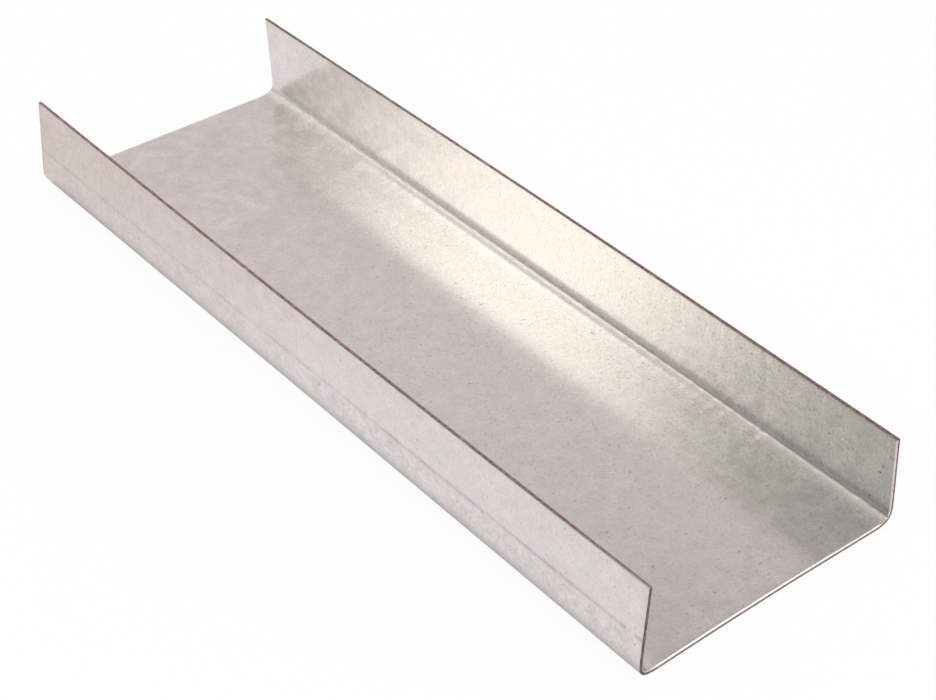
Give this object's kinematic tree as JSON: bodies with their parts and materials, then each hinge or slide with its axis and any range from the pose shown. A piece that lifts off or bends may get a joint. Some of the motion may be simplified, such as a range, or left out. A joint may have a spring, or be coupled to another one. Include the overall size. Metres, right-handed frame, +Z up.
{
  "type": "drywall track",
  "caption": "Short cut length of galvanised steel drywall track: a flat web with two plain upright legs that toe in slightly to grip the ends of wall studs.",
  "frame": {"origin": "centre of the web's underside, midway between the cut ends", "axes": "+X along the track, +Z up from the web towards the lips of the legs, Y across the track"},
  "size_m": [0.3, 0.0966, 0.0318],
  "materials": {
    "galvanised_steel": "hot-dip galvanised sheet with a fine spangle, bare brown steel on the slit and sheared edges"
  },
  "bodies": {
    "root": {"track": "galvanised_steel"}
  },
  "joints": []
}
